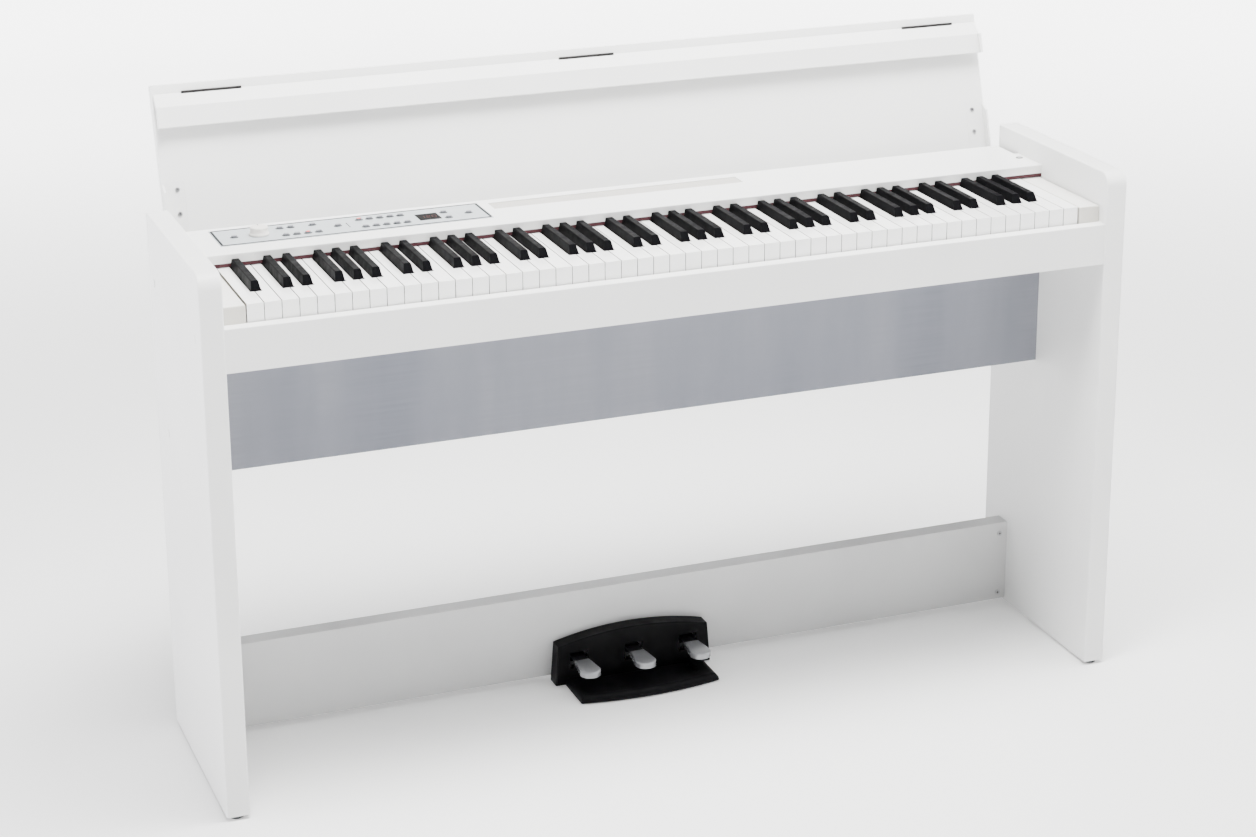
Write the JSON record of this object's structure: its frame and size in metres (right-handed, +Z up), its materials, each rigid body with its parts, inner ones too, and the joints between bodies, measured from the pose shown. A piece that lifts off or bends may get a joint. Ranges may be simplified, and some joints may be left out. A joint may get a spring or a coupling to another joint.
{
  "type": "digital piano on stand",
  "caption": "Full-size digital piano on a fixed panel stand, with a folding lid, working keys, a control strip and a pedal unit.",
  "frame": {"origin": "centre of the rest pose's box, on the floor", "axes": "+X along the keyboard from low notes to high, +Y from the player to the back, +Z up"},
  "size_m": [1.3566, 0.4285, 0.9276],
  "materials": {
    "white_panel": "satin white foil over board",
    "white_plastic": "satin white moulded plastic",
    "silver_panel": "silver grey foil with a faint horizontal brush",
    "grey_panel": "light grey foil over board",
    "ivory_plastic": "satin warm grey plastic",
    "white_key": "gloss white acrylic",
    "black_key": "matte black",
    "felt": "dark maroon felt",
    "silver_plate": "pale silver blue film",
    "dark_window": "gloss black window",
    "red_lens": "clear red lens",
    "grey_button": "satin grey plastic",
    "knob_plastic": "satin white with a grey skirt",
    "steel": "zinc plated",
    "white_metal": "white powder coat on steel",
    "rubber": "black rubber",
    "grey_rubber": "soft grey rubber",
    "circuit_board": "green solder mask",
    "taupe_strip": "matte taupe plastic",
    "black_plastic": "satin black plastic",
    "chrome": "polished chrome",
    "speaker_wood": "black stained fibreboard"
  },
  "bodies": {
    "case": {"back_cover": "white_plastic", "contact_rubber": "rubber", "control_board": "circuit_board", "control_plate": "silver_plate", "display_window": "dark_window", "indicator_lights": "red_lens", "key_chassis": "steel", "key_contact_board": "circuit_board", "key_felt": "felt", "key_pivot_rod": "steel", "key_slip": "white_panel", "keybed": "white_panel", "left_end_block": "ivory_plastic", "left_side_panel": "white_panel", "left_speaker_box": "speaker_wood", "lid_bumpers": "grey_rubber", "lid_pivot_pins": "steel", "main_board": "circuit_board", "modesty_panel": "silver_panel", "music_rest_strip": "taupe_strip", "pedal_housing": "black_plastic", "pedal_shaft": "steel", "pedal_springs": "steel", "rear_sockets": "black_plastic", "right_end_block": "ivory_plastic", "right_side_panel": "white_panel", "right_speaker_box": "speaker_wood", "rubber_feet": "rubber", "screw_caps": "white_plastic", "speaker_drivers": "black_plastic", "speaker_grilles": "black_plastic", "stretcher_board": "grey_panel", "stretcher_screws": "steel", "top_panel": "white_plastic"},
    "lid": {"lid_board": "white_panel", "left_lid_arm": "white_metal", "right_lid_arm": "white_metal", "lid_screws": "steel", "flap_hinges": "steel"},
    "flap": {"lid_flap": "white_panel"},
    "volume": {"volume_knob": "knob_plastic"},
    "power": {"power_button": "grey_button"},
    "voices": {"voice_buttons": "grey_button"},
    "songs": {"song_buttons": "grey_button"},
    "values": {"value_buttons": "grey_button"},
    "pedal_left": {"left_pedal": "chrome"},
    "pedal_middle": {"middle_pedal": "chrome"},
    "pedal_right": {"right_pedal": "chrome"},
    "keys_c": {"white_keys_c": "white_key"},
    "keys_d": {"white_keys_d": "white_key"},
    "keys_e": {"white_keys_e": "white_key"},
    "keys_f": {"white_keys_f": "white_key"},
    "keys_g": {"white_keys_g": "white_key"},
    "keys_a": {"white_keys_a": "white_key"},
    "keys_b": {"white_keys_b": "white_key"},
    "keys_c_sharp": {"black_keys_c_sharp": "black_key"},
    "keys_d_sharp": {"black_keys_d_sharp": "black_key"},
    "keys_f_sharp": {"black_keys_f_sharp": "black_key"},
    "keys_g_sharp": {"black_keys_g_sharp": "black_key"},
    "keys_a_sharp": {"black_keys_a_sharp": "black_key"}
  },
  "joints": [
    {"name": "lid_hinge", "type": "hinge", "parent": "case", "child": "lid", "pos_m": [0, 0.06236, 0.6928], "axis": [1, 0, 0], "range_deg": [0, 106.8]},
    {"name": "flap_hinge", "type": "hinge", "parent": "lid", "child": "flap", "pos_m": [0, 0.1928, 0.91655], "axis": [-1, 0, 0], "range_deg": [0, 90]},
    {"name": "volume_turn", "type": "hinge", "parent": "case", "child": "volume", "pos_m": [-0.534, 0.04876, 0.747], "axis": [0, 0, 1], "range_deg": [-150, 150]},
    {"name": "power_press", "type": "slide", "parent": "case", "child": "power", "axis": [0, 0, -1], "range_m": [0, 0.0007], "stiffness_N_per_m": 300, "springref_m": -0.002},
    {"name": "voices_press", "type": "slide", "parent": "case", "child": "voices", "axis": [0, 0, -1], "range_m": [0, 0.0007], "stiffness_N_per_m": 300, "springref_m": -0.002},
    {"name": "songs_press", "type": "slide", "parent": "case", "child": "songs", "axis": [0, 0, -1], "range_m": [0, 0.0007], "stiffness_N_per_m": 300, "springref_m": -0.002},
    {"name": "values_press", "type": "slide", "parent": "case", "child": "values", "axis": [0, 0, -1], "range_m": [0, 0.0007], "stiffness_N_per_m": 300, "springref_m": -0.002},
    {"name": "left_pedal_press", "type": "hinge", "parent": "case", "child": "pedal_left", "pos_m": [-0.088, 0.02576, 0.04], "axis": [1, 0, 0], "range_deg": [0, 8], "stiffness_Nm_per_rad": 1.5, "springref_deg": -17.19},
    {"name": "middle_pedal_press", "type": "hinge", "parent": "case", "child": "pedal_middle", "pos_m": [0, 0.02576, 0.04], "axis": [1, 0, 0], "range_deg": [0, 8], "stiffness_Nm_per_rad": 1.5, "springref_deg": -17.19},
    {"name": "right_pedal_press", "type": "hinge", "parent": "case", "child": "pedal_right", "pos_m": [0.088, 0.02576, 0.04], "axis": [1, 0, 0], "range_deg": [0, 8], "stiffness_Nm_per_rad": 1.5, "springref_deg": -17.19},
    {"name": "keys_c_press", "type": "hinge", "parent": "case", "child": "keys_c", "pos_m": [0, 0.06976, 0.712], "axis": [1, 0, 0], "range_deg": [0, 2.2], "stiffness_Nm_per_rad": 10, "springref_deg": -11.46},
    {"name": "keys_d_press", "type": "hinge", "parent": "case", "child": "keys_d", "pos_m": [0, 0.06976, 0.712], "axis": [1, 0, 0], "range_deg": [0, 2.2], "stiffness_Nm_per_rad": 10, "springref_deg": -11.46},
    {"name": "keys_e_press", "type": "hinge", "parent": "case", "child": "keys_e", "pos_m": [0, 0.06976, 0.712], "axis": [1, 0, 0], "range_deg": [0, 2.2], "stiffness_Nm_per_rad": 10, "springref_deg": -11.46},
    {"name": "keys_f_press", "type": "hinge", "parent": "case", "child": "keys_f", "pos_m": [0, 0.06976, 0.712], "axis": [1, 0, 0], "range_deg": [0, 2.2], "stiffness_Nm_per_rad": 10, "springref_deg": -11.46},
    {"name": "keys_g_press", "type": "hinge", "parent": "case", "child": "keys_g", "pos_m": [0, 0.06976, 0.712], "axis": [1, 0, 0], "range_deg": [0, 2.2], "stiffness_Nm_per_rad": 10, "springref_deg": -11.46},
    {"name": "keys_a_press", "type": "hinge", "parent": "case", "child": "keys_a", "pos_m": [0, 0.06976, 0.712], "axis": [1, 0, 0], "range_deg": [0, 2.2], "stiffness_Nm_per_rad": 10, "springref_deg": -11.46},
    {"name": "keys_b_press", "type": "hinge", "parent": "case", "child": "keys_b", "pos_m": [0, 0.06976, 0.712], "axis": [1, 0, 0], "range_deg": [0, 2.2], "stiffness_Nm_per_rad": 10, "springref_deg": -11.46},
    {"name": "keys_c_sharp_press", "type": "hinge", "parent": "case", "child": "keys_c_sharp", "pos_m": [0, 0.06976, 0.712], "axis": [1, 0, 0], "range_deg": [0, 2.2], "stiffness_Nm_per_rad": 10, "springref_deg": -11.46},
    {"name": "keys_d_sharp_press", "type": "hinge", "parent": "case", "child": "keys_d_sharp", "pos_m": [0, 0.06976, 0.712], "axis": [1, 0, 0], "range_deg": [0, 2.2], "stiffness_Nm_per_rad": 10, "springref_deg": -11.46},
    {"name": "keys_f_sharp_press", "type": "hinge", "parent": "case", "child": "keys_f_sharp", "pos_m": [0, 0.06976, 0.712], "axis": [1, 0, 0], "range_deg": [0, 2.2], "stiffness_Nm_per_rad": 10, "springref_deg": -11.46},
    {"name": "keys_g_sharp_press", "type": "hinge", "parent": "case", "child": "keys_g_sharp", "pos_m": [0, 0.06976, 0.712], "axis": [1, 0, 0], "range_deg": [0, 2.2], "stiffness_Nm_per_rad": 10, "springref_deg": -11.46},
    {"name": "keys_a_sharp_press", "type": "hinge", "parent": "case", "child": "keys_a_sharp", "pos_m": [0, 0.06976, 0.712], "axis": [1, 0, 0], "range_deg": [0, 2.2], "stiffness_Nm_per_rad": 10, "springref_deg": -11.46}
  ]
}
